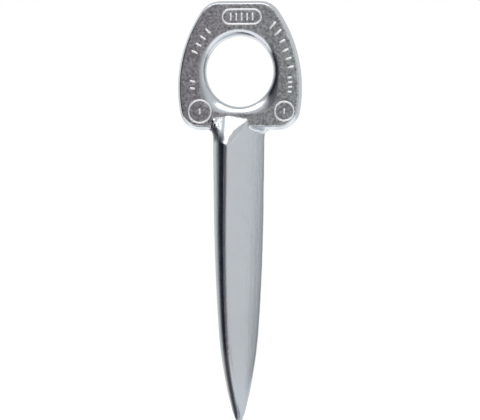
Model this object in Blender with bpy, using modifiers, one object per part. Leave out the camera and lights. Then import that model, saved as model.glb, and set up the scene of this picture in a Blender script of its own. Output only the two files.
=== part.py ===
"""
Forged steel piton: a flat head with an eye, and a tapered blade turned 45 degrees to the head.

Units are metres and +Z is up, with the blade pointing down. The origin is on the blade's axis,
level with the underside of the head, and the head's flat faces look along +Y and -Y.
The real piton is one forging. It is modelled as its two working regions, head and blade.
"""
import math

import bmesh
import bpy
from mathutils import Matrix, Vector

# Head plate
HEAD_WIDTH = 0.0345
HEAD_HEIGHT = 0.0356
HEAD_THICKNESS = 0.0050
HEAD_OFFSET = 0.0003
WIDEST_HEIGHT = 0.0116
FLANK_RADIUS = 0.0380
TOP_CORNER_RADIUS = 0.0062
BOTTOM_CORNER_RADIUS = 0.0060
RIM_BEVEL = 0.0011

# Eye
EYE_WIDTH = 0.0186
EYE_HEIGHT = 0.0195
EYE_CENTRE_HEIGHT = 0.0161
LIP_RADIUS = 0.0022
LIP_LAND = 0.0006
LIP_EDGE_ANGLE = math.radians(14.0)

# Blade
BLADE_LENGTH = 0.0800
BLADE_TURN = math.radians(45.0)
ROOT_WIDTH = 0.0141
SHOULDER_WIDTH = 0.0119
TIP_WIDTH = 0.0013
PARALLEL_LENGTH = 0.0220
SHOULDER_DEPTH = 0.0540
ROOT_THICKNESS = 0.0063
TIP_THICKNESS = 0.0029
NOSE_LENGTH = 0.0030
BLADE_CORNER_RADIUS = 0.0005

# Roots, where the turned bar runs out into the head's two faces
RAMP_HEIGHT = 0.0038
RAMP_DEPTH = 0.0036
RAMP_FALL = math.radians(10.0)

# Modelling cut between the two regions
CUT_BELOW_RAMP = 0.0006
CUT_GAP = 0.0003

ARC_STEP = math.radians(7.5)
EYE_STEPS = 72
LIP_STEPS = 7
BEVEL_SEGMENTS = 3
WELD_DISTANCE = 0.00001
FLAT_ANGLE = math.radians(0.5)
SHARP_ANGLE = math.radians(30.0)


def clear_scene():
    """Remove every object that the file opened with."""
    for obj in list(bpy.data.objects):
        bpy.data.objects.remove(obj, do_unlink=True)


def new_collection(name):
    collection = bpy.data.collections.new(name)
    bpy.context.scene.collection.children.link(collection)
    return collection


def new_object(name, data, collection):
    obj = bpy.data.objects.new(name, data)
    collection.objects.link(obj)
    return obj


def plated_steel(name, colour, roughness):
    """Bright zinc plating: a metal with a soft shine."""
    material = bpy.data.materials.new(name)
    material.use_nodes = True
    shader = material.node_tree.nodes["Principled BSDF"]
    shader.inputs["Base Color"].default_value = (*colour, 1.0)
    shader.inputs["Metallic"].default_value = 1.0
    shader.inputs["Roughness"].default_value = roughness
    return material


def arc(centre, radius, start, end):
    """Points of an arc from the start angle to the end angle, both ends included."""
    steps = max(2, math.ceil(abs(end - start) / ARC_STEP))
    angles = [start + (end - start) * i / steps for i in range(steps + 1)]
    return [centre + radius * Vector((math.cos(a), math.sin(a))) for a in angles]


def corner_centre(flank_centre, radius, height):
    """Centre of a corner arc at a height, which runs smoothly into the flank arc."""
    reach = FLANK_RADIUS - radius
    rise = height - flank_centre.y
    return Vector((flank_centre.x + math.sqrt(reach ** 2 - rise ** 2), height))


def head_outline():
    """The head seen from the front: a flat top, bulging flanks and a straight underside."""
    flank_centre = Vector((HEAD_WIDTH / 2 - FLANK_RADIUS, WIDEST_HEIGHT))
    top_centre = corner_centre(flank_centre, TOP_CORNER_RADIUS, HEAD_HEIGHT - TOP_CORNER_RADIUS)
    bottom_centre = corner_centre(flank_centre, BOTTOM_CORNER_RADIUS, BOTTOM_CORNER_RADIUS)
    top_turn = (top_centre - flank_centre).angle_signed(Vector((1, 0)))
    bottom_turn = (bottom_centre - flank_centre).angle_signed(Vector((1, 0)))
    right = arc(bottom_centre, BOTTOM_CORNER_RADIUS, -math.pi / 2, bottom_turn)
    right += arc(flank_centre, FLANK_RADIUS, bottom_turn, top_turn)[1:-1]
    right += arc(top_centre, TOP_CORNER_RADIUS, top_turn, math.pi / 2)
    left = [Vector((-p.x, p.y)) for p in reversed(right)]
    return right + left


def outline_mesh(name, outline, thickness):
    """A flat 2D curve, given its thickness and made a mesh that stands upright."""
    curve = bpy.data.curves.new(name + "_outline", "CURVE")
    curve.dimensions = "2D"
    curve.fill_mode = "BOTH"
    curve.extrude = thickness / 2
    spline = curve.splines.new("POLY")
    spline.points.add(len(outline) - 1)
    for point, place in zip(spline.points, outline):
        point.co = (place.x, place.y, 0.0, 1.0)
    spline.use_cyclic_u = True
    guide = bpy.data.objects.new(name + "_outline", curve)
    bpy.context.scene.collection.objects.link(guide)
    evaluated = guide.evaluated_get(bpy.context.evaluated_depsgraph_get())
    mesh = bpy.data.meshes.new_from_object(evaluated)
    mesh.name = name
    bpy.data.objects.remove(guide, do_unlink=True)
    bpy.data.curves.remove(curve)
    mesh.transform(Matrix.Rotation(math.pi / 2, 4, "X"))
    return mesh


def add_head_plate(collection):
    """The head's plate, with its rim rounded over on both faces."""
    mesh = outline_mesh("eye_head", head_outline(), HEAD_THICKNESS)
    mesh.transform(Matrix.Translation((HEAD_OFFSET, 0.0, 0.0)))
    bm = bmesh.new()
    bm.from_mesh(mesh)
    bmesh.ops.remove_doubles(bm, verts=bm.verts, dist=WELD_DISTANCE)
    bmesh.ops.dissolve_limit(bm, angle_limit=FLAT_ANGLE, verts=bm.verts, edges=bm.edges)
    bmesh.ops.recalc_face_normals(bm, faces=bm.faces)
    rim = [e for e in bm.edges if e.calc_face_angle(0.0) > SHARP_ANGLE]
    bevel(bm, rim, RIM_BEVEL)
    bm.to_mesh(mesh)
    bm.free()
    return new_object("eye_head", mesh, collection)


def bevel(bm, edges, width):
    bmesh.ops.bevel(
        bm,
        geom=edges,
        offset=width,
        offset_type="OFFSET",
        segments=BEVEL_SEGMENTS,
        profile=0.5,
        affect="EDGES",
        material=-1,
    )


def add_eye_cutter(collection):
    """The eye's space, turned about its own axis: a short straight land between two round lips."""
    throat = EYE_HEIGHT / 2
    half_land = LIP_LAND / 2
    lip = []
    for i in range(LIP_STEPS + 1):
        turn = (math.pi / 2 - LIP_EDGE_ANGLE) * i / LIP_STEPS
        radius = throat + LIP_RADIUS * (1 - math.cos(turn))
        lip.append(Vector((radius, 0.0, half_land + LIP_RADIUS * math.sin(turn))))
    clear_height = max(lip[-1].z, HEAD_THICKNESS / 2) + HEAD_THICKNESS / 10
    run = (clear_height - lip[-1].z) / math.tan(LIP_EDGE_ANGLE)
    upper = [Vector((lip[-1].x + run, 0.0, clear_height))] + lip[::-1]
    lower = [Vector((p.x, 0.0, -p.z)) for p in reversed(upper)]
    ends = [Vector((0.0, 0.0, clear_height)), Vector((0.0, 0.0, -clear_height))]
    profile = ends[:1] + upper + lower + ends[1:]
    mesh = bpy.data.meshes.new("eye_space")
    mesh.from_pydata(profile, [(i, i + 1) for i in range(len(profile) - 1)], [])
    cutter = new_object("eye_space", mesh, collection)
    cutter.location = (HEAD_OFFSET, 0.0, EYE_CENTRE_HEIGHT)
    cutter.rotation_euler = (math.pi / 2, 0.0, 0.0)
    cutter.scale = (EYE_WIDTH / EYE_HEIGHT, 1.0, 1.0)
    screw = cutter.modifiers.new("turned", "SCREW")
    screw.steps = EYE_STEPS
    screw.render_steps = EYE_STEPS
    screw.use_merge_vertices = True
    screw.merge_threshold = WELD_DISTANCE
    hide_guide(cutter)
    return cutter


def hide_guide(obj):
    obj.hide_render = True
    obj.display_type = "WIRE"


def blade_width(height):
    """Width over the edges: parallel at first, then two curves that draw in to the point."""
    depth = -height
    if depth <= PARALLEL_LENGTH:
        return ROOT_WIDTH
    long_run = SHOULDER_DEPTH - PARALLEL_LENGTH
    drop = ROOT_WIDTH - SHOULDER_WIDTH
    if depth <= SHOULDER_DEPTH:
        return ROOT_WIDTH - drop * ((depth - PARALLEL_LENGTH) / long_run) ** 2
    point_run = BLADE_LENGTH - SHOULDER_DEPTH
    along = (depth - SHOULDER_DEPTH) / point_run
    straight_drop = 2 * drop / long_run * point_run
    curved_drop = SHOULDER_WIDTH - TIP_WIDTH - straight_drop
    return SHOULDER_WIDTH - straight_drop * along - curved_drop * along ** 2


def blade_thickness(height):
    """Thickness over the broad faces: an even taper, closed to a blunt nose at the very end."""
    depth = -height
    even = ROOT_THICKNESS + (TIP_THICKNESS - ROOT_THICKNESS) * depth / BLADE_LENGTH
    into_nose = max(0.0, depth - (BLADE_LENGTH - NOSE_LENGTH)) / NOSE_LENGTH
    return even + (TIP_WIDTH - TIP_THICKNESS) * into_nose ** 2


def blade_stations(top, bottom):
    """Heights of the bar's cross sections, closer together towards the point."""
    curve_start = -PARALLEL_LENGTH
    nose_start = NOSE_LENGTH - BLADE_LENGTH
    heights = [curve_start]
    heights += [curve_start + (nose_start - curve_start) * math.sin(math.pi / 2 * i / 12) for i in range(1, 13)]
    heights += [nose_start - NOSE_LENGTH * i / 4 for i in range(1, 4)]
    return [z for z in heights if bottom + CUT_GAP < z < top - CUT_GAP]


def bar_mesh(name, top, bottom):
    """The turned bar between two heights, with its four long edges rounded."""
    bm = bmesh.new()
    bmesh.ops.create_cube(bm, size=1.0)
    bmesh.ops.scale(bm, vec=(1.0, 1.0, top - bottom), verts=bm.verts)
    bmesh.ops.translate(bm, vec=(0.0, 0.0, (top + bottom) / 2), verts=bm.verts)
    for height in blade_stations(top, bottom):
        geometry = bm.verts[:] + bm.edges[:] + bm.faces[:]
        bmesh.ops.bisect_plane(
            bm, geom=geometry, dist=WELD_DISTANCE, plane_co=(0.0, 0.0, height), plane_no=(0.0, 0.0, 1.0)
        )
    for vert in bm.verts:
        vert.co.x = math.copysign(blade_width(vert.co.z) / 2, vert.co.x)
        vert.co.y = math.copysign(blade_thickness(vert.co.z) / 2, vert.co.y)
    long_edges = [e for e in bm.edges if e.verts[0].co.z != e.verts[1].co.z]
    bevel(bm, long_edges, BLADE_CORNER_RADIUS)
    bmesh.ops.rotate(bm, matrix=Matrix.Rotation(BLADE_TURN, 3, "Z"), verts=bm.verts)
    bmesh.ops.recalc_face_normals(bm, faces=bm.faces)
    mesh = bpy.data.meshes.new(name)
    bm.to_mesh(mesh)
    bm.free()
    return mesh


def ramp_planes():
    """The planes that slope the bar's front and back ridges off into the head's faces."""
    width = blade_width(-RAMP_DEPTH)
    thickness = blade_thickness(-RAMP_DEPTH)
    ridge = Matrix.Rotation(BLADE_TURN, 3, "Z") @ Vector((-width / 2, -thickness / 2, -RAMP_DEPTH))
    top = Vector((ridge.x, -HEAD_THICKNESS / 2, RAMP_HEIGHT))
    planes = []
    for side in (-1.0, 1.0):
        level = Vector((side * math.cos(RAMP_FALL), 0.0, -math.sin(RAMP_FALL)))
        normal = level.cross(top - ridge).normalized()
        if normal.y > 0:
            normal.negate()
        for turn in (0.0, math.pi):
            half_turn = Matrix.Rotation(turn, 3, "Z")
            planes.append((half_turn @ top, half_turn @ normal))
    return planes


def cut_away(mesh, point, normal):
    """Cut off what lies beyond a plane and close the cut."""
    bm = bmesh.new()
    bm.from_mesh(mesh)
    geometry = bm.verts[:] + bm.edges[:] + bm.faces[:]
    cut = bmesh.ops.bisect_plane(
        bm,
        geom=geometry,
        dist=WELD_DISTANCE,
        plane_co=point,
        plane_no=normal,
        clear_outer=True,
    )
    edges = [item for item in cut["geom_cut"] if isinstance(item, bmesh.types.BMEdge)]
    bmesh.ops.holes_fill(bm, edges=edges, sides=0)
    bmesh.ops.recalc_face_normals(bm, faces=bm.faces)
    bm.to_mesh(mesh)
    bm.free()


def add_roots(collection, cut_height):
    """The end of the bar inside the head, with its ridges sloped off into both faces."""
    bar_top = RAMP_HEIGHT + HEAD_THICKNESS / 8
    mesh = bar_mesh("roots", bar_top, cut_height)
    for point, normal in ramp_planes():
        cut_away(mesh, point, normal)
    roots = new_object("roots", mesh, collection)
    hide_guide(roots)
    return roots


def add_boolean(obj, tool, operation):
    step = obj.modifiers.new(tool.name, "BOOLEAN")
    step.object = tool
    step.operation = operation
    step.solver = "EXACT"


def shade(mesh):
    mesh.shade_smooth()
    mesh.set_sharp_from_angle(angle=SHARP_ANGLE)


clear_scene()
piton = new_collection("piton")
tools = new_collection("cutters")

cut_height = -(RAMP_DEPTH + CUT_BELOW_RAMP)

eye_head = add_head_plate(piton)
add_boolean(eye_head, add_roots(tools, cut_height), "UNION")
add_boolean(eye_head, add_eye_cutter(tools), "DIFFERENCE")
eye_head.data.materials.append(plated_steel("zinc_plated_head", (0.52, 0.53, 0.54), 0.38))
shade(eye_head.data)

blade = new_object("blade", bar_mesh("blade", cut_height - CUT_GAP, -BLADE_LENGTH), piton)
blade.data.materials.append(plated_steel("zinc_plated_blade", (0.66, 0.69, 0.73), 0.28))
shade(blade.data)
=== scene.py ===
import math

import bmesh
import bpy
from mathutils import Matrix, Vector, noise


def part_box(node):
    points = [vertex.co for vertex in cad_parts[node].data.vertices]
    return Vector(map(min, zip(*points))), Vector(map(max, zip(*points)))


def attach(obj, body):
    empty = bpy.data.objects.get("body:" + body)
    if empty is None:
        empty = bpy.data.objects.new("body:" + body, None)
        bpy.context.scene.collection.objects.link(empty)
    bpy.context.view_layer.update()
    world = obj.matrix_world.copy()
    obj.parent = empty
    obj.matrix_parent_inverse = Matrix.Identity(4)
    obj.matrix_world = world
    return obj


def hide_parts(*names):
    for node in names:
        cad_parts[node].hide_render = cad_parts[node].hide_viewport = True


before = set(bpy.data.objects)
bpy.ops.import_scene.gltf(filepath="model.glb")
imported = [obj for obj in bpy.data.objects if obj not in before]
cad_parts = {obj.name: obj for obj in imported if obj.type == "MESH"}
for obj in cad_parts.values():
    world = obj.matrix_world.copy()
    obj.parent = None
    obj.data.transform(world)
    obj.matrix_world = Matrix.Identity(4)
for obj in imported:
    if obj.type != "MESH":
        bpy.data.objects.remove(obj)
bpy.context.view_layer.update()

MM = 0.001


# Head plate
# The flat end of the forging, with a flat top and bulging flanks. It is one piece with the blade.
# It is pressed between two dies, so its rim leans in from the parting line towards both faces.
head_low, head_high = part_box("eye_head")
blade_low, blade_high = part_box("blade")
HEAD_HALF_WIDTH = (head_high.x - head_low.x) / 2
HEAD_MIDDLE = (head_high.x + head_low.x) / 2
HEAD_HEIGHT = head_high.z
HEAD_THICKNESS = 5.0 * MM
WIDEST_HEIGHT = 11.6 * MM
FLANK_RADIUS = 38.0 * MM
TOP_CORNER_RADIUS = 6.2 * MM
BOTTOM_CORNER_RADIUS = 6.0 * MM
RIM_DRAFT = 0.72 * MM
RIM_CORNER = 0.40 * MM
RIM_STEPS = 6
OUTLINE_STEP = math.radians(1.5)
WELD = 0.002 * MM


def line_to(bm, vert, place):
    """Draw a straight line from a point to a place, and return the point at its end."""
    end = bm.verts.new(place)
    bm.edges.new((vert, end))
    return end


def arc_from(bm, vert, centre, axis, angle):
    """Draw an arc by turning a point about a centre, and return the point at its end."""
    steps = max(2, math.ceil(abs(angle) / OUTLINE_STEP))
    turned = bmesh.ops.spin(bm, geom=[vert], cent=centre, axis=axis, angle=angle, steps=steps)
    return next(item for item in turned["geom_last"] if isinstance(item, bmesh.types.BMVert))


def mirror_half(bm, axis):
    """Add the other half of a shape that is open at the plane through the origin."""
    geometry = bm.verts[:] + bm.edges[:] + bm.faces[:]
    bmesh.ops.mirror(bm, geom=geometry, matrix=Matrix.Identity(4), merge_dist=WELD, axis=axis)
    bmesh.ops.remove_doubles(bm, verts=bm.verts, dist=WELD)


def made_object(name, bm):
    """Put a finished bmesh into a new object at the origin."""
    mesh = bpy.data.meshes.new(name)
    bm.to_mesh(mesh)
    bm.free()
    obj = bpy.data.objects.new(name, mesh)
    bpy.context.scene.collection.objects.link(obj)
    return obj


def corner_centre(radius, height):
    """Centre of a corner arc at a height, which runs smoothly into the flank's arc."""
    reach = FLANK_RADIUS - radius
    rise = height - WIDEST_HEIGHT
    return Vector((HEAD_HALF_WIDTH - FLANK_RADIUS + math.sqrt(reach ** 2 - rise ** 2), 0.0, height))


def head_plate():
    """The plate: half its outline drawn and mirrored, filled, then stepped in towards the faces."""
    bm = bmesh.new()
    flank = Vector((HEAD_HALF_WIDTH - FLANK_RADIUS, 0.0, WIDEST_HEIGHT))
    bottom = corner_centre(BOTTOM_CORNER_RADIUS, BOTTOM_CORNER_RADIUS)
    top = corner_centre(TOP_CORNER_RADIUS, HEAD_HEIGHT - TOP_CORNER_RADIUS)
    bottom_turn = math.atan2(bottom.z - flank.z, bottom.x - flank.x)
    top_turn = math.atan2(top.z - flank.z, top.x - flank.x)
    up_turn = (0.0, -1.0, 0.0)
    point = line_to(bm, bm.verts.new((0.0, 0.0, 0.0)), (bottom.x, 0.0, 0.0))
    point = arc_from(bm, point, bottom, up_turn, math.pi / 2 + bottom_turn)
    point = arc_from(bm, point, flank, up_turn, top_turn - bottom_turn)
    point = arc_from(bm, point, top, up_turn, math.pi / 2 - top_turn)
    line_to(bm, point, (0.0, 0.0, HEAD_HEIGHT))
    mirror_half(bm, "X")
    bmesh.ops.edgeloop_fill(bm, edges=bm.edges)
    face = bm.faces[:][0]
    if face.normal.y > 0:
        bmesh.ops.reverse_faces(bm, faces=[face])
    side_height = HEAD_THICKNESS / 2 - RIM_CORNER
    lean = math.atan(RIM_DRAFT / side_height)
    drawn_in, risen = 0.0, 0.0
    for step in range(RIM_STEPS + 1):
        turn = lean + (math.pi / 2 - lean) * step / RIM_STEPS
        inward = RIM_DRAFT + RIM_CORNER * (math.cos(lean) - math.cos(turn))
        outward = min(side_height + RIM_CORNER * math.sin(turn), HEAD_THICKNESS / 2)
        bmesh.ops.inset_region(
            bm, faces=[face], thickness=inward - drawn_in, depth=outward - risen,
            use_boundary=True, use_even_offset=True,
        )
        drawn_in, risen = inward, outward
    mirror_half(bm, "Y")
    bmesh.ops.translate(bm, vec=(HEAD_MIDDLE, 0.0, 0.0), verts=bm.verts)
    bmesh.ops.recalc_face_normals(bm, faces=bm.faces)
    return made_object("plate", bm)


# Eye
# The hole that a connector clips into, trimmed out of the plate while it is hot. Both of its
# edges are pressed round, so that a connector turns in it freely. This is the space it leaves.
EYE_WIDTH = 18.6 * MM
EYE_HEIGHT = 19.5 * MM
EYE_CENTRE_HEIGHT = 16.1 * MM
LIP_RADIUS = 2.2 * MM
LIP_LAND = 0.6 * MM
LIP_EDGE_ANGLE = math.radians(14.0)
EYE_CLEARANCE = 1.0 * MM
EYE_STEPS = 120
FLARE_TURN = math.radians(42.0)
FLARE_SPREAD = math.radians(24.0)
FLARE = 1.15


def eye_space():
    """The eye's profile spun round its axis, flared at the lower lips, then made a little narrower."""
    bm = bmesh.new()
    throat = EYE_HEIGHT / 2
    lip_centre = Vector((throat + LIP_RADIUS, -LIP_LAND / 2, 0.0))
    lip_turn = math.pi / 2 - LIP_EDGE_ANGLE
    lip_edge = lip_centre - LIP_RADIUS * Vector((math.cos(lip_turn), math.sin(lip_turn), 0.0))
    face = -HEAD_THICKNESS / 2
    front = face - EYE_CLEARANCE
    outer = lip_edge.x + (lip_edge.y - face) / math.tan(LIP_EDGE_ANGLE)
    point = line_to(bm, bm.verts.new((0.0, front, 0.0)), (outer, front, 0.0))
    point = line_to(bm, point, (outer, face, 0.0))
    point = line_to(bm, point, lip_edge)
    point = arc_from(bm, point, lip_centre, (0.0, 0.0, 1.0), -lip_turn)
    line_to(bm, point, (throat, 0.0, 0.0))
    mirror_half(bm, "Y")
    profile = bm.verts[:] + bm.edges[:]
    bmesh.ops.spin(
        bm, geom=profile, cent=(0.0, 0.0, 0.0), axis=(0.0, 1.0, 0.0),
        angle=2 * math.pi, steps=EYE_STEPS, use_merge=True,
    )
    bmesh.ops.remove_doubles(bm, verts=bm.verts, dist=WELD)
    for vert in bm.verts:
        reach = math.hypot(vert.co.x, vert.co.z)
        from_bottom = abs(math.atan2(vert.co.x, -vert.co.z))
        flare = 1 + FLARE * math.exp(-((from_bottom - FLARE_TURN) / FLARE_SPREAD) ** 2)
        if reach > throat:
            wider = (throat + (reach - throat) * flare) / reach
            vert.co.x *= wider
            vert.co.z *= wider
    bmesh.ops.scale(bm, vec=(EYE_WIDTH / EYE_HEIGHT, 1.0, 1.0), verts=bm.verts)
    bmesh.ops.translate(bm, vec=(HEAD_MIDDLE, 0.0, EYE_CENTRE_HEIGHT), verts=bm.verts)
    bmesh.ops.recalc_face_normals(bm, faces=bm.faces)
    return made_object("eye_space", bm)


# Tapered bar
# The blade's steel: a bar drawn out under the hammer to a point, and turned 45 degrees to the head.
# Its broad faces are nearly flat, and its narrow faces bulge. The edges between the ridges are
# pulled in a little, because they lie in the dies' parting line.
BLADE_LENGTH = -blade_low.z
BLADE_TURN = math.radians(45.0)
ROOT_WIDTH = 14.1 * MM
SHOULDER_WIDTH = 11.9 * MM
TIP_WIDTH = 1.3 * MM
PARALLEL_LENGTH = 22.0 * MM
SHOULDER_DEPTH = 54.0 * MM
ROOT_THICKNESS = 6.3 * MM
TIP_THICKNESS = 2.9 * MM
NOSE_LENGTH = 3.0 * MM
NOSE_STATIONS = (0.2, 0.4, 0.6, 0.8)
EDGE_DROP = 0.5 * MM
EDGE_LIFT = 0.6 * MM
EDGE_BULGE = 0.65 * MM
CROWN = 0.20 * MM
RIDGE_RADIUS = 0.6 * MM
RIDGE_STEPS = 4
BAR_TOP = 4.4 * MM
STATION_STEP = 2.0 * MM
SECTION_CUTS = 8
FILLET = 1.7 * MM
FILLET_FADE = 0.8 * MM
FILLET_SHARPNESS = 4
FILLET_STATIONS = (-1.7, -1.3, -0.9, -0.6, -0.35, -0.15, 0.0, 0.3, 0.8)
UNIT_CORNER = 0.49
SIDE_FACE = 0.99


def blade_width(depth):
    """Width over the narrow faces: parallel at first, then two curves that draw in to the point."""
    long_run = SHOULDER_DEPTH - PARALLEL_LENGTH
    drop = ROOT_WIDTH - SHOULDER_WIDTH
    if depth <= SHOULDER_DEPTH:
        return ROOT_WIDTH - drop * (max(0.0, depth - PARALLEL_LENGTH) / long_run) ** 2
    point_run = BLADE_LENGTH - SHOULDER_DEPTH
    along = (depth - SHOULDER_DEPTH) / point_run
    straight_drop = 2 * drop / long_run * point_run
    curved_drop = SHOULDER_WIDTH - TIP_WIDTH - straight_drop
    return SHOULDER_WIDTH - straight_drop * along - curved_drop * along ** 2


def blade_thickness(depth):
    """Thickness over the broad faces: an even taper, closed to a blunt nose at the very end."""
    even = ROOT_THICKNESS + (TIP_THICKNESS - ROOT_THICKNESS) * depth / BLADE_LENGTH
    into_nose = max(0.0, depth - (BLADE_LENGTH - NOSE_LENGTH)) / NOSE_LENGTH
    return even + (TIP_WIDTH - TIP_THICKNESS) * into_nose ** 2


def cut_across(bm, place, normal, **clear):
    """Cut through all of a shape at a plane, and clear one side of it where that is asked for."""
    whole = bm.verts[:] + bm.edges[:] + bm.faces[:]
    return bmesh.ops.bisect_plane(bm, geom=whole, dist=WELD, plane_co=place, plane_no=normal, **clear)


def tapered_bar():
    """The bar from inside the plate down to the point, shaped from a unit block."""
    bm = bmesh.new()
    bmesh.ops.create_cube(bm, size=1.0)
    length = BAR_TOP + BLADE_LENGTH
    bmesh.ops.scale(bm, vec=(1.0, 1.0, length), verts=bm.verts)
    bmesh.ops.translate(bm, vec=(0.0, 0.0, BAR_TOP - length / 2), verts=bm.verts)
    for i in range(1, SECTION_CUTS):
        share = i / SECTION_CUTS - 0.5
        cut_across(bm, (share, 0.0, 0.0), (1.0, 0.0, 0.0))
        cut_across(bm, (0.0, share, 0.0), (0.0, 1.0, 0.0))
    for i in range(1, int(length / STATION_STEP)):
        cut_across(bm, (0.0, 0.0, -BLADE_LENGTH + STATION_STEP * i), (0.0, 0.0, 1.0))
    for share in NOSE_STATIONS:
        cut_across(bm, (0.0, 0.0, -BLADE_LENGTH + NOSE_LENGTH * share), (0.0, 0.0, 1.0))
    for height in FILLET_STATIONS:
        cut_across(bm, (0.0, 0.0, height * MM), (0.0, 0.0, 1.0))
    corners = [v for v in bm.verts if min(abs(v.co.x), abs(v.co.y)) > UNIT_CORNER]
    long_edges = [e for v in corners for e in v.link_edges if e.other_vert(v) in corners]
    long_edges = [e for e in dict.fromkeys(long_edges) if e.verts[0].co.z != e.verts[1].co.z]
    for vert in bm.verts:
        depth = -vert.co.z
        side, face = 2 * vert.co.x, 2 * vert.co.y
        half_width, half_thickness = blade_width(depth) / 2, blade_thickness(depth) / 2
        share = half_thickness * 2 / ROOT_THICKNESS
        from_ridge = (1 - side * face) / 2 * share
        vert.co.x = side * (half_width - EDGE_DROP * from_ridge)
        vert.co.y = face * (half_thickness + EDGE_LIFT * from_ridge)
        if abs(side) > SIDE_FACE:
            vert.co.x += side * EDGE_BULGE * (1 - face ** 2) * share
        else:
            vert.co.y += face * CROWN * (2 - share) * (1 - side ** 2)
    bmesh.ops.bevel(
        bm, geom=long_edges, offset=RIDGE_RADIUS, offset_type="OFFSET", segments=RIDGE_STEPS,
        profile=0.5, affect="EDGES", material=-1,
    )
    bmesh.ops.rotate(bm, matrix=Matrix.Rotation(BLADE_TURN, 3, "Z"), verts=bm.verts)
    widen_under_plate(bm)
    return bm


def widen_under_plate(bm):
    """Flare the bar's two side edges out into the plate's bottom rim, as a fillet does."""
    reach = max(vert.co.x for vert in bm.verts)
    for vert in bm.verts:
        near = 1 + vert.co.z / FILLET if vert.co.z < 0 else 1 - vert.co.z / FILLET_FADE
        if near > 0:
            flare = FILLET * (1 - math.sqrt(1 - near ** 2))
            share = (abs(vert.co.x) / reach) ** FILLET_SHARPNESS
            vert.co.x += math.copysign(flare * share, vert.co.x)


# Roots
# Where the turned bar runs out into the plate, its front and back ridges slope off in two facets
# each, left by the dies. They are part of the same steel.
RAMP_HEIGHT = 3.8 * MM
RAMP_DEPTH = 3.6 * MM
RAMP_FALL = math.radians(10.0)


def slope_off_ridges(bm):
    """Cut the two facets off the front ridge, and off the back ridge by a half turn."""
    half_width = blade_width(RAMP_DEPTH) / 2
    half_thickness = blade_thickness(RAMP_DEPTH) / 2
    ridge = Matrix.Rotation(BLADE_TURN, 3, "Z") @ Vector((-half_width, -half_thickness, -RAMP_DEPTH))
    top = Vector((ridge.x, -HEAD_THICKNESS / 2, RAMP_HEIGHT))
    for side in (-1.0, 1.0):
        level = Vector((side * math.cos(RAMP_FALL), 0.0, -math.sin(RAMP_FALL)))
        normal = level.cross(top - ridge).normalized()
        if normal.y > 0:
            normal.negate()
        for turn in (0.0, math.pi):
            half_turn = Matrix.Rotation(turn, 3, "Z")
            cut = cut_across(bm, half_turn @ top, half_turn @ normal, clear_outer=True)
            edges = [item for item in cut["geom_cut"] if isinstance(item, bmesh.types.BMEdge)]
            bmesh.ops.holes_fill(bm, edges=edges, sides=0)
    bmesh.ops.recalc_face_normals(bm, faces=bm.faces)


# Raised marks
# Plain beads of the same steel, left by the die on the plate's front: bars, two rings and a ribbed
# oblong. They say nothing. A ring is given by its place and radius, and a bar by its place, length
# and slope, in mm and degrees.
BEAD_WIDTH = 0.60 * MM
BEAD_HEIGHT = 0.22 * MM
BEAD_SIDES = 12
BEAD_RINGS = 8
ON_AXIS = 0.01 * MM
RING_SIDES = 8
RING_STEPS = 54
PIP_LENGTH = 1.6
RIB_LENGTH = 2.2
RIB_PLACES = (-3.0, -1.5, 0.0, 1.5, 3.0)
OBLONG_PLACE = (1.0, 31.0)
OBLONG_HALF_HEIGHT = 2.0 * MM
OBLONG_HALF_RUN = 3.3 * MM
RINGS = ((-10.6, 5.0, 3.1), (12.7, 5.0, 2.6))
BARS = (
    (-12.0, 21.4, 1.9, -68), (-10.9, 23.4, 1.9, -64), (-9.7, 25.3, 1.9, -58), (-8.3, 27.1, 1.9, -52),
    (-12.6, 13.3, 1.6, -80), (-12.6, 11.4, 1.6, -80),
    (9.6, 28.6, 2.6, 42), (11.0, 26.6, 2.6, 50), (12.2, 24.2, 1.9, 62), (13.1, 21.7, 1.9, 66),
    (13.9, 19.4, 1.9, 70), (14.5, 17.1, 1.9, 74),
    (14.2, 14.2, 1.3, 82), (14.3, 12.9, 1.3, 84), (14.3, 11.6, 1.3, 86), (14.2, 10.3, 1.3, 88),
)


def add_bead(bm, across, up, length, slope):
    """A half-round bar. Its place and length are in mm, and its slope in degrees."""
    radius = BEAD_WIDTH / 2
    ball = bmesh.ops.create_uvsphere(bm, u_segments=BEAD_SIDES, v_segments=BEAD_RINGS, radius=radius)
    bead = ball["verts"]
    for vert in bead:
        if abs(vert.co.x) > ON_AXIS:
            vert.co.x += math.copysign(length * MM / 2 - radius, vert.co.x)
    place_on_face(bm, bead, across, up, math.radians(slope) + math.pi / 2)


def add_ring(bm, across, up, radius, half_run):
    """A half-round ring, drawn out to an oblong where its half run isn't zero."""
    others = set(bm.verts)
    circle = bmesh.ops.create_circle(bm, segments=RING_SIDES, radius=BEAD_WIDTH / 2)["verts"]
    bmesh.ops.translate(bm, vec=(radius, 0.0, 0.0), verts=circle)
    edges = list(dict.fromkeys(e for v in circle for e in v.link_edges))
    bmesh.ops.spin(
        bm, geom=circle + edges, cent=(0.0, 0.0, 0.0), axis=(0.0, 1.0, 0.0),
        angle=2 * math.pi, steps=RING_STEPS, use_merge=True,
    )
    ring = [vert for vert in bm.verts if vert not in others]
    for vert in ring:
        vert.co.x += math.copysign(half_run, vert.co.x)
    faces = list(dict.fromkeys(face for vert in ring for face in vert.link_faces))
    bmesh.ops.recalc_face_normals(bm, faces=faces)
    place_on_face(bm, ring, across, up, 0.0)


def place_on_face(bm, verts, across, up, turn):
    """Press a bead to its height, turn it, and put it at its place on the plate's front."""
    bmesh.ops.scale(bm, vec=(1.0, BEAD_HEIGHT / (BEAD_WIDTH / 2), 1.0), verts=verts)
    bmesh.ops.rotate(bm, matrix=Matrix.Rotation(turn, 3, "Y"), verts=verts)
    bmesh.ops.translate(bm, vec=(across * MM, -HEAD_THICKNESS / 2, up * MM), verts=verts)


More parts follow.
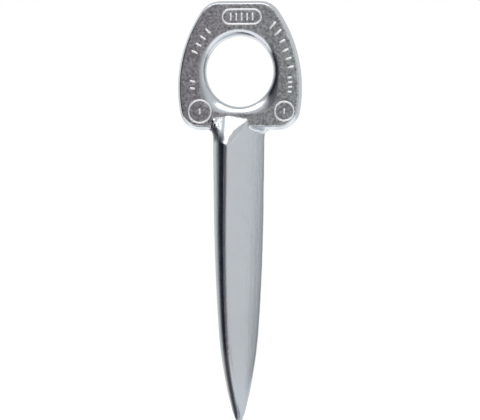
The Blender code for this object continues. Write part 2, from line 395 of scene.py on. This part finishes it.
def fix_face_order(bm):
    """Sort the faces by their points, because a spin gives them in another order in each run."""
    bm.verts.index_update()
    ranked = sorted(bm.faces, key=lambda face: sorted(vert.index for vert in face.verts))
    ranks = {face: rank for rank, face in enumerate(ranked)}
    bm.faces.sort(key=ranks.get)


def raised_marks():
    """All the beads, each sunk to half its height in the plate's front."""
    bm = bmesh.new()
    for across, up, radius in RINGS:
        add_ring(bm, across, up, radius * MM, 0.0)
        add_bead(bm, across, up, PIP_LENGTH, 0)
    across, up = OBLONG_PLACE
    add_ring(bm, across, up, OBLONG_HALF_HEIGHT, OBLONG_HALF_RUN)
    for step in RIB_PLACES:
        add_bead(bm, across + step, up, RIB_LENGTH, 0)
    for bar in BARS:
        add_bead(bm, *bar)
    fix_face_order(bm)
    return made_object("raised_marks", bm)


# One forging
# Plate, bar and roots are one piece of steel, with inner corners rounded by the dies and every face
# slightly uneven. A hollow to round is given by its lowest and highest place, how many edges about
# it move too, and how often it is smoothed.
VOXEL = 0.2 * MM
SETTLE_PASSES = 5
ROOT_TOP = 1.6 * MM
ROOT_BOTTOM = -4.4 * MM
ROOT_FADE = 1.2 * MM
ROOT_FALL = 2.4 * MM
ROOT_BANDS = (0.0, 0.25, 0.5, 0.75)
ROOT_PASSES = 60
HOLLOW = 0.012 * MM
FACE_HOLLOW = (0.8 * MM, 5.0 * MM, 4, 8)
UNDER_HOLLOW = (-4.0 * MM, 0.8 * MM, 8, 48)
CHECK_EVERY = 8
WAVE_HEIGHT = 0.012 * MM
WAVE_LENGTH = 5.0 * MM


def combine(obj, tool, operation):
    """Join a tool to an object or cut it out, and remove the tool."""
    step = obj.modifiers.new(tool.name, "BOOLEAN")
    step.object = tool
    step.operation = operation
    step.solver = "EXACT"
    bake_modifiers(obj)
    bpy.data.objects.remove(tool, do_unlink=True)


def bake_modifiers(obj):
    """Give an object the mesh that its modifiers make of it."""
    evaluated = obj.evaluated_get(bpy.context.evaluated_depsgraph_get())
    mesh = bpy.data.meshes.new_from_object(evaluated)
    obj.modifiers.clear()
    obj.data = mesh


def relax(bm, verts, passes):
    every_axis = {"use_axis_x": True, "use_axis_y": True, "use_axis_z": True}
    for _ in range(passes):
        bmesh.ops.smooth_vert(bm, verts=verts, factor=0.5, **every_axis)


def spread(verts, reach):
    """The points, and those that lie up to so many edges away."""
    wider = set(verts)
    for _ in range(reach):
        wider |= {e.other_vert(v) for v in wider for e in v.link_edges}
    return sorted(wider, key=lambda vert: vert.index)


def round_hollows(bm, bottom, top, reach, passes):
    """Relax the inner corners between two heights into fillets, which only ever add steel."""
    bm.normal_update()
    bm.verts.index_update()
    hollow = []
    for vert in bm.verts:
        if bottom < vert.co.z < top:
            around = [e.other_vert(vert).co for e in vert.link_edges]
            middle = sum(around, Vector()) / len(around)
            if (middle - vert.co).dot(vert.normal) > HOLLOW:
                hollow.append(vert)
    round_about = spread(hollow, reach)
    first = [(vert.co.copy(), vert.normal.copy()) for vert in round_about]
    for _ in range(passes // CHECK_EVERY):
        relax(bm, round_about, CHECK_EVERY)
        for vert, (place, normal) in zip(round_about, first):
            if (vert.co - place).dot(normal) < 0:
                vert.co = place


def soften_root_facets(bm):
    """Blend the lower edges of the facets softly into the bar, most in the middle of their height."""
    proud = [v for v in bm.verts if abs(v.co.y) > HEAD_THICKNESS / 2 + VOXEL]
    for share in ROOT_BANDS:
        low = ROOT_BOTTOM + ROOT_FADE * share
        high = ROOT_TOP - ROOT_FALL * share
        relax(bm, [v for v in proud if low < v.co.z < high], ROOT_PASSES)


def uneven(bm):
    """Move the surface in and out a little, in long soft waves."""
    bm.normal_update()
    shifts = [v.normal * WAVE_HEIGHT * noise.noise(v.co / WAVE_LENGTH) for v in bm.verts]
    for vert, shift in zip(bm.verts, shifts):
        vert.co += shift


bar = tapered_bar()
slope_off_ridges(bar)
forging = head_plate()
combine(forging, made_object("bar", bar), "UNION")
combine(forging, eye_space(), "DIFFERENCE")
remesh = forging.modifiers.new("fine_mesh", "REMESH")
remesh.mode = "VOXEL"
remesh.voxel_size = VOXEL
bake_modifiers(forging)
steel = bmesh.new()
steel.from_mesh(forging.data)
relax(steel, steel.verts, SETTLE_PASSES)
soften_root_facets(steel)
round_hollows(steel, *UNDER_HOLLOW)
round_hollows(steel, *FACE_HOLLOW)
uneven(steel)
marks = raised_marks()
steel.from_mesh(marks.data)
bpy.data.objects.remove(marks, do_unlink=True)
SEAM_HEIGHT = (head_low.z + blade_high.z) / 2
cut_across(steel, (0.0, 0.0, SEAM_HEIGHT), (0.0, 0.0, 1.0))
steel.normal_update()
seam = [v for v in steel.verts if abs(v.co.z - SEAM_HEIGHT) < WELD]
seam_normals = {tuple(v.co): v.normal.copy() for v in seam}
bpy.data.objects.remove(forging, do_unlink=True)


def part_of_forging(name, clear):
    """The forging without the side to clear, closed where it is divided."""
    bm = steel.copy()
    cut_across(bm, (0.0, 0.0, SEAM_HEIGHT), (0.0, 0.0, 1.0), **{clear: True})
    edges = [e for e in bm.edges if e.is_boundary]
    bmesh.ops.holes_fill(bm, edges=edges, sides=0)
    return made_object(name, bm)


def shade_as_one(obj):
    """Shade smoothly, and run the shading on across the divide between the two parts."""
    mesh = obj.data
    mesh.shade_smooth()
    normals = [Vector()] * len(mesh.loops)
    for polygon in mesh.polygons:
        capped = len(polygon.vertices) > 4 and all(
            tuple(mesh.vertices[i].co) in seam_normals for i in polygon.vertices
        )
        for loop in polygon.loop_indices:
            place = tuple(mesh.vertices[mesh.loops[loop].vertex_index].co)
            if capped:
                normals[loop] = polygon.normal.copy()
            elif place in seam_normals:
                normals[loop] = seam_normals[place]
    mesh.normals_split_custom_set(normals)


# Zinc plating
# Both parts carry the same bright zinc: smooth on the bar, the lips and the rim, grained, mottled
# and darker on the plate's flats, and worn bright on the beads. On the forged roots, forging streaks
# are painted darker as a painted dark reflection, and a crease beside them as painted shade.
# Ranges of places are in mm.
BRIGHT_ZINC = (0.62, 0.65, 0.69)
LEFT_TINT = (0.46, 0.44, 0.475)
RIGHT_TINT = (0.50, 0.525, 0.53)
WORN_ZINC = (0.95, 0.96, 0.97)
TINT_RANGE = (-6.0, 22.0)
TINT_CLOUD = 16.0
MOTTLE_CONTRAST = 3.0
MOTTLE_BASE = -0.38
FACE_PLACE = HEAD_THICKNESS / 2 / MM
ON_FACE = (0.09, 0.04)
ON_PLATE = (0.6, 1.1)
PROUD = (0.05, 0.10)
ABOVE_ROOTS = (5.6, 5.8)
BESIDE_ROOTS = (7.2, 7.4)
BEADS_FROM = (1.2, 1.4)
ROOTS_FROM = (-4.0, -2.5)
ROUGH_FROM = (-4.2, -2.0)
ROUGH_TO = (1.2, -0.6)
NARROW_FACE = (8.7, 9.5)
SMOOTH_ROUGHNESS = 0.14
CLOUD_ROUGHNESS = 0.12
FLAT_ROUGHNESS = 0.16
BEAD_ROUGHNESS = 0.35
ROOT_ROUGHNESS = 0.24
STREAKED_SIDE = (3.8, 4.8)
STREAK_SLANT = math.radians(25)
STREAK_STRETCH = 0.25
STREAK_RANGE = (0.42, 0.62)
# How much darker the roots' forging streaks are painted, as painted dark reflection, and where and how
# deep the painted shade along a crease runs.
STREAK_SHADE_DEPTH = 0.62
CREASE_SHADE_RISE = (3.2, 3.7)
CREASE_SHADE_FALL = (4.9, 4.0)
CREASE_SHADE_DEPTH = 0.60
LINE_STRETCH = 0.06
LINE_HEIGHT = 0.35
DENT_HEIGHT = 0.45
BUMP_DISTANCE = 0.04 * MM
LINES = {"scale": 2.6, "detail": 3.0}
CLOUD = {"scale": 0.25, "detail": 2.0}
DENTS = {"scale": 0.75, "detail": 2.0}
STREAKS = {"scale": 1.6, "detail": 3.0}
GRAIN = {"scale": 3.2, "detail": 4.0, "roughness": 0.65}
MOTTLE = {"scale": 1.5, "detail": 3.0, "roughness": 0.6}


def put_node(tree, kind, **settings):
    node = tree.nodes.new(kind)
    for name, value in settings.items():
        setattr(node, name, value)
    return node


def calculate(tree, operation, *values):
    """A Math node on up to three values, each a number or another node's output."""
    node = put_node(tree, "ShaderNodeMath", operation=operation)
    for socket, value in zip(node.inputs, values):
        if isinstance(value, bpy.types.NodeSocket):
            tree.links.new(value, socket)
        else:
            socket.default_value = value
    return node.outputs[0]


def product(tree, first, *others):
    for other in others:
        first = calculate(tree, "MULTIPLY", first, other)
    return first


def mix_colours(tree, factor, first, second, blend="MIX"):
    """A Mix node on two colours, each three numbers or another node's output."""
    node = put_node(tree, "ShaderNodeMix", data_type="RGBA", blend_type=blend)
    tree.links.new(factor, node.inputs["Factor"])
    for name, value in (("A", first), ("B", second)):
        if isinstance(value, bpy.types.NodeSocket):
            tree.links.new(value, node.inputs[name])
        else:
            node.inputs[name].default_value = (*value, 1.0)
    return node.outputs["Result"]


def noise_value(tree, place, scale, detail, roughness=0.5):
    node = put_node(tree, "ShaderNodeTexNoise")
    tree.links.new(place, node.inputs["Vector"])
    node.inputs["Scale"].default_value = scale
    node.inputs["Detail"].default_value = detail
    node.inputs["Roughness"].default_value = roughness
    return node.outputs["Fac"]


def ramp_between(tree, value, low, high):
    """Zero at low, one at high, and smooth in between."""
    node = put_node(tree, "ShaderNodeMapRange", interpolation_type="SMOOTHSTEP")
    tree.links.new(value, node.inputs["Value"])
    node.inputs["From Min"].default_value = low
    node.inputs["From Max"].default_value = high
    return node.outputs["Result"]


def split_place(tree, place):
    """The X, Y and Z of a place or a direction."""
    node = put_node(tree, "ShaderNodeSeparateXYZ")
    tree.links.new(place, node.inputs[0])
    return node.outputs["X"], node.outputs["Y"], node.outputs["Z"]


def stretched(tree, place, share, slant=0.0):
    """A place turned about Y and scaled by a share in height, which draws a noise out along Z."""
    node = put_node(tree, "ShaderNodeMapping")
    node.inputs["Rotation"].default_value = (0.0, slant, 0.0)
    node.inputs["Scale"].default_value = (1.0, 1.0, share)
    tree.links.new(place, node.inputs["Vector"])
    return node.outputs[0]


def value_group(name, outputs):
    """A node group that takes a place in mm and gives values, with its place and its outputs' ends."""
    group = bpy.data.node_groups.new(name, "ShaderNodeTree")
    group.interface.new_socket("Place", in_out="INPUT", socket_type="NodeSocketVector")
    for output in outputs:
        group.interface.new_socket(output, in_out="OUTPUT", socket_type="NodeSocketFloat")
    start, end = group.nodes.new("NodeGroupInput"), group.nodes.new("NodeGroupOutput")
    return group, start.outputs["Place"], end.inputs


def drawn_lines():
    """Node group: faint lines along the bar, a soft cloudiness, and shallow dents."""
    group, place, ends = value_group("drawn_lines", ("Lines", "Cloud", "Dents"))
    group.links.new(noise_value(group, stretched(group, place, LINE_STRETCH), **LINES), ends["Lines"])
    group.links.new(noise_value(group, place, **CLOUD), ends["Cloud"])
    group.links.new(noise_value(group, place, **DENTS), ends["Dents"])
    return group


def die_grain():
    """Node group: the fine grain that the die leaves, and a mottle."""
    group, place, ends = value_group("die_grain", ("Grain", "Mottle"))
    group.links.new(noise_value(group, place, **GRAIN), ends["Grain"])
    group.links.new(noise_value(group, place, **MOTTLE), ends["Mottle"])
    return group


def root_streaks_and_painted_shade():
    """Node group: the forged roots' tone, with their forging streaks painted darker as a painted dark
    reflection, and painted shade along a crease.
    """
    group, place, ends = value_group("root_streaks_and_painted_shade", ("Tone",))
    across, out, _ = split_place(group, place)
    to_narrow = calculate(group, "MULTIPLY", across, calculate(group, "SIGN", out))
    slanted = stretched(group, place, STREAK_STRETCH, STREAK_SLANT)
    streaks_and_painted_shade = ramp_between(group, noise_value(group, slanted, **STREAKS), *STREAK_RANGE)
    narrow_side = ramp_between(group, to_narrow, *STREAKED_SIDE)
    # Painted dark reflection: the forging streaks on the narrow side are painted darker.
    streak_shade = product(group, streaks_and_painted_shade, narrow_side, STREAK_SHADE_DEPTH)
    # Painted shade along a crease, in place of its shape.
    rise = ramp_between(group, to_narrow, *CREASE_SHADE_RISE)
    fall = ramp_between(group, to_narrow, *CREASE_SHADE_FALL)
    crease_shade = product(group, rise, fall, CREASE_SHADE_DEPTH)
    darker = calculate(group, "MAXIMUM", crease_shade, streak_shade)
    group.links.new(calculate(group, "SUBTRACT", 1.0, darker), ends["Tone"])
    return group


lines_group = drawn_lines()
streaks_and_shade_group = root_streaks_and_painted_shade()
grain_group = die_grain()


def values_from(tree, group, place):
    node = put_node(tree, "ShaderNodeGroup", node_tree=group)
    tree.links.new(place, node.inputs["Place"])
    return node.outputs


def plating_masks(tree, place):
    """One on the flats of the plate, the beads, the roots, and the roots' narrow faces, in that order."""
    across, out, up = split_place(tree, place)
    off_face = calculate(tree, "SUBTRACT", calculate(tree, "ABSOLUTE", out), FACE_PLACE)
    near_face = ramp_between(tree, calculate(tree, "ABSOLUTE", off_face), *ON_FACE)
    flat = product(tree, near_face, ramp_between(tree, up, *ON_PLATE))
    proud = ramp_between(tree, off_face, *PROUD)
    beside = ramp_between(tree, calculate(tree, "ABSOLUTE", across), *BESIDE_ROOTS)
    clear_of_roots = calculate(tree, "MAXIMUM", ramp_between(tree, up, *ABOVE_ROOTS), beside)
    bead = product(tree, proud, clear_of_roots, ramp_between(tree, up, *BEADS_FROM))
    on_roots = calculate(tree, "SUBTRACT", 1.0, clear_of_roots)
    root = product(tree, proud, on_roots, ramp_between(tree, up, *ROOTS_FROM))
    at_seam = product(tree, ramp_between(tree, up, *ROUGH_FROM), ramp_between(tree, up, *ROUGH_TO))
    along_width = calculate(tree, "ABSOLUTE", calculate(tree, "ADD", across, out))
    narrow = product(tree, at_seam, ramp_between(tree, along_width, *NARROW_FACE))
    return flat, bead, root, narrow


def plating_tint(tree, place, cloud):
    """The flats' colour, which changes from left to right with a cloudy border."""
    across = split_place(tree, place)[0]
    clouded = calculate(tree, "MULTIPLY_ADD", cloud, TINT_CLOUD, across)
    return mix_colours(tree, ramp_between(tree, clouded, *TINT_RANGE), LEFT_TINT, RIGHT_TINT)


def zinc_plating(name):
    material = bpy.data.materials.new(name)
    material.use_nodes = True
    tree = material.node_tree
    shader = tree.nodes["Principled BSDF"]
    shader.inputs["Metallic"].default_value = 1.0
    where = put_node(tree, "ShaderNodeTexCoord")
    in_mm = put_node(tree, "ShaderNodeMapping")
    in_mm.inputs["Scale"].default_value = (1 / MM, 1 / MM, 1 / MM)
    tree.links.new(where.outputs["Object"], in_mm.inputs["Vector"])
    place = in_mm.outputs[0]
    lines = values_from(tree, lines_group, place)
    grain = values_from(tree, grain_group, place)
    streaks_and_painted_shade = values_from(tree, streaks_and_shade_group, place)
    flat, bead, root, narrow = plating_masks(tree, place)

    colour = mix_colours(tree, flat, BRIGHT_ZINC, plating_tint(tree, place, lines["Cloud"]))
    mottle = calculate(tree, "MULTIPLY_ADD", grain["Mottle"], MOTTLE_CONTRAST, MOTTLE_BASE)
    colour = mix_colours(tree, flat, colour, mottle, "MULTIPLY")
    # Painted dark reflection along the roots' forging streaks, and painted shade along their crease.
    colour = mix_colours(tree, root, colour, streaks_and_painted_shade["Tone"], "MULTIPLY")
    colour = mix_colours(tree, bead, colour, WORN_ZINC)
    tree.links.new(colour, shader.inputs["Base Color"])

    roughness = calculate(tree, "MULTIPLY_ADD", lines["Cloud"], CLOUD_ROUGHNESS, SMOOTH_ROUGHNESS)
    for mask, more in ((flat, FLAT_ROUGHNESS), (bead, BEAD_ROUGHNESS), (narrow, ROOT_ROUGHNESS)):
        roughness = calculate(tree, "MULTIPLY_ADD", mask, more, roughness)
    tree.links.new(roughness, shader.inputs["Roughness"])

    dents = product(tree, lines["Dents"], DENT_HEIGHT)
    height = put_node(tree, "ShaderNodeMix", data_type="FLOAT")
    tree.links.new(flat, height.inputs["Factor"])
    tree.links.new(calculate(tree, "MULTIPLY_ADD", lines["Lines"], LINE_HEIGHT, dents), height.inputs["A"])
    tree.links.new(grain["Grain"], height.inputs["B"])
    bump = put_node(tree, "ShaderNodeBump")
    bump.inputs["Strength"].default_value = 1.0
    bump.inputs["Distance"].default_value = BUMP_DISTANCE
    tree.links.new(height.outputs["Result"], bump.inputs["Height"])
    tree.links.new(bump.outputs["Normal"], shader.inputs["Normal"])
    return material


# Blade
# The lower part of the forging, from just under the head to the point. It is driven into the crack.
forged_blade = part_of_forging("forged_blade", "clear_outer")
forged_blade.data.materials.append(zinc_plating("blade_zinc"))
shade_as_one(forged_blade)
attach(forged_blade, "root")
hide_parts("blade")


# Eye head
# The upper part of the forging: the plate with its eye, and the roots that carry the load down.
forged_eye_head = part_of_forging("forged_eye_head", "clear_inner")
forged_eye_head.data.materials.append(zinc_plating("head_zinc"))
shade_as_one(forged_eye_head)
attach(forged_eye_head, "root")
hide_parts("eye_head")
steel.free()


# Studio
# White paper behind, soft lights on the right and above, a dark side on the left and a dim room
# behind the camera. Bright metal shows all of it. Places and sizes of the lights are in metres.
SIDE_LIGHT = {"place": (0.60, -0.235, 0.0), "aim": (0.0, -0.235, 0.0), "size": (0.37, 0.42), "level": 0.65}
TOP_LIGHT = {"place": (-0.06, -0.24, 0.46), "aim": (0.0, 0.0, 0.0), "size": (0.56, 0.40), "level": 1.35}
FILL = (0.6, 0.6, 0.6)
PAPER = (1.0, 1.0, 1.0)
CEILING = (0.75, 0.75, 0.75)
CEILING_RANGE = (0.18, 0.38)
CEILING_LEAN = 0.35
GROUND = (1.25, 1.25, 1.25)
GROUND_RANGE = (-0.30, -0.44)
WALL_TURNS = (
    (0.000, (0.80, 0.82, 0.80)),
    (0.170, (0.80, 0.82, 0.80)),
    (0.203, (0.30, 0.32, 0.31)),
    (0.232, (0.010, 0.011, 0.022)),
    (0.345, (0.010, 0.010, 0.022)),
    (0.400, (0.120, 0.115, 0.130)),
    (0.470, (0.190, 0.180, 0.195)),
    (0.520, (0.230, 0.240, 0.235)),
    (0.565, (0.440, 0.455, 0.450)),
    (0.640, (0.680, 0.695, 0.690)),
    (0.660, (0.150, 0.155, 0.160)),
    (0.725, (0.150, 0.155, 0.160)),
    (0.750, (0.520, 0.530, 0.535)),
    (0.800, (0.240, 0.246, 0.250)),
    (0.845, (0.80, 0.82, 0.80)),
)


def seen_directly(tree):
    """One for what the camera sees, also in metal or through glass, and zero for what only lights."""
    path = put_node(tree, "ShaderNodeLightPath")
    seen = calculate(tree, "MAXIMUM", path.outputs["Is Camera Ray"], path.outputs["Is Glossy Ray"])
    return calculate(tree, "MAXIMUM", seen, path.outputs["Is Transmission Ray"])


def wall_tones(tree, across, out):
    """The walls' colours round the piton, from the X and Y of a direction or a place."""
    turn = calculate(tree, "ARCTAN2", across, calculate(tree, "MULTIPLY", out, -1.0))
    share = calculate(tree, "MULTIPLY_ADD", turn, 0.5 / math.pi, 0.5)
    walls = put_node(tree, "ShaderNodeValToRGB")
    tree.links.new(share, walls.inputs["Fac"])
    stops = walls.color_ramp.elements
    stops.remove(stops[1])
    stops[0].position = WALL_TURNS[0][0]
    stops[0].color = (*WALL_TURNS[0][1], 1.0)
    for position, colour in WALL_TURNS[1:]:
        stops.new(position).color = (*colour, 1.0)
    return walls.outputs["Color"]


def studio_walls():
    world = bpy.data.worlds.new("studio")
    bpy.context.scene.world = world
    world.use_nodes = True
    tree = world.node_tree
    where = put_node(tree, "ShaderNodeTexCoord")
    across, out, up = split_place(tree, where.outputs["Generated"])
    to_left = calculate(tree, "MINIMUM", across, 0.0)
    leaning = calculate(tree, "MULTIPLY_ADD", to_left, CEILING_LEAN, up)
    overhead = ramp_between(tree, leaning, *CEILING_RANGE)
    colour = mix_colours(tree, overhead, wall_tones(tree, across, out), CEILING)
    colour = mix_colours(tree, ramp_between(tree, up, *GROUND_RANGE), colour, GROUND)
    path = put_node(tree, "ShaderNodeLightPath")
    colour = mix_colours(tree, path.outputs["Is Camera Ray"], colour, PAPER)
    colour = mix_colours(tree, seen_directly(tree), FILL, colour)
    background = tree.nodes["Background"]
    tree.links.new(colour, background.inputs["Color"])
    background.inputs["Strength"].default_value = 1.0


def softbox(name, place, aim, size, level):
    """A rectangular lamp whose surface looks as bright as its level."""
    data = bpy.data.lights.new(name, "AREA")
    data.shape = "RECTANGLE"
    data.size, data.size_y = size
    data.energy = level * math.pi * size[0] * size[1]
    lamp = bpy.data.objects.new(name, data)
    bpy.context.scene.collection.objects.link(lamp)
    lamp.location = place
    lamp.rotation_euler = (Vector(aim) - Vector(place)).to_track_quat("-Z", "Y").to_euler()


studio_walls()
softbox("side_softbox", **SIDE_LIGHT)
softbox("top_softbox", **TOP_LIGHT)


# Floor
# A plain pale round table top that the piton's point touches. It isn't part of the object. In the
# metal it glows with painted shade on its left half, a copy of the walls' tones, and with a painted
# pale light on its right, and its lit colour there is nearly black.
FLOOR_RADIUS = 70.0 * MM
FLOOR_SIDES = 96
FLOOR_ROUGHNESS = 0.9
FLOOR_BASE = (0.75, 0.75, 0.75)
# Seen in metal, the floor's lit colour is nearly black, and its glow carries painted shade on the left
# half and painted light on the right.
FLOOR_BASE_IN_METAL = (0.05, 0.05, 0.05)
FLOOR_GLOW = (0.6, 0.6, 0.6)
FLOOR_PAINTED_LIGHT_IN_METAL = (0.75, 0.77, 0.79)
TO_LEFT_HALF = (2.0 * MM, -2.0 * MM)
floor_bm = bmesh.new()
bmesh.ops.create_circle(floor_bm, cap_ends=True, segments=FLOOR_SIDES, radius=FLOOR_RADIUS)
bmesh.ops.translate(floor_bm, vec=(0.0, 0.0, blade_low.z), verts=floor_bm.verts)
floor = made_object("floor", floor_bm)


def floor_sheet():
    material = bpy.data.materials.new("floor_sheet")
    material.use_nodes = True
    tree = material.node_tree
    shader = tree.nodes["Principled BSDF"]
    shader.inputs["Roughness"].default_value = FLOOR_ROUGHNESS
    path = put_node(tree, "ShaderNodeLightPath")
    # Painted shade: seen in metal, the floor's lit colour is swapped for near black.
    base = mix_colours(tree, path.outputs["Is Glossy Ray"], FLOOR_BASE, FLOOR_BASE_IN_METAL)
    tree.links.new(base, shader.inputs["Base Color"])
    where = put_node(tree, "ShaderNodeTexCoord")
    across, out, _ = split_place(tree, where.outputs["Object"])
    # Painted shade and light seen in metal: the walls' dark tones on the left half, a pale glow on the
    # right.
    left_half = ramp_between(tree, across, *TO_LEFT_HALF)
    painted_floor_in_metal = mix_colours(tree, left_half, FLOOR_PAINTED_LIGHT_IN_METAL, wall_tones(tree, across, out))
    glow = mix_colours(tree, path.outputs["Is Camera Ray"], painted_floor_in_metal, FLOOR_GLOW)
    tree.links.new(glow, shader.inputs["Emission Color"])
    tree.links.new(seen_directly(tree), shader.inputs["Emission Strength"])
    return material


floor.data.materials.append(floor_sheet())


# Camera
# A long lens, level with the middle of the piton and a little to its right.
LENS = 150.0
SENSOR = 36.0
VIEW_WIDTH = 132.4 * MM
VIEW_AZIMUTH = math.radians(5.5)
AIM_ACROSS = 0.33 * MM
AIM_HEIGHT = -22.07 * MM
camera_data = bpy.data.cameras.new("camera")
camera_data.lens = LENS
camera_data.sensor_width = SENSOR
camera = bpy.data.objects.new("camera", camera_data)
bpy.context.scene.collection.objects.link(camera)
across = Vector((math.cos(VIEW_AZIMUTH), math.sin(VIEW_AZIMUTH), 0.0))
back = Vector((math.sin(VIEW_AZIMUTH), -math.cos(VIEW_AZIMUTH), 0.0))
distance = LENS / SENSOR * VIEW_WIDTH
camera.location = across * AIM_ACROSS + back * distance + Vector((0.0, 0.0, AIM_HEIGHT))
camera.rotation_euler = (math.pi / 2, 0.0, VIEW_AZIMUTH)
bpy.context.scene.camera = camera
bpy.context.scene.view_settings.view_transform = "Standard"
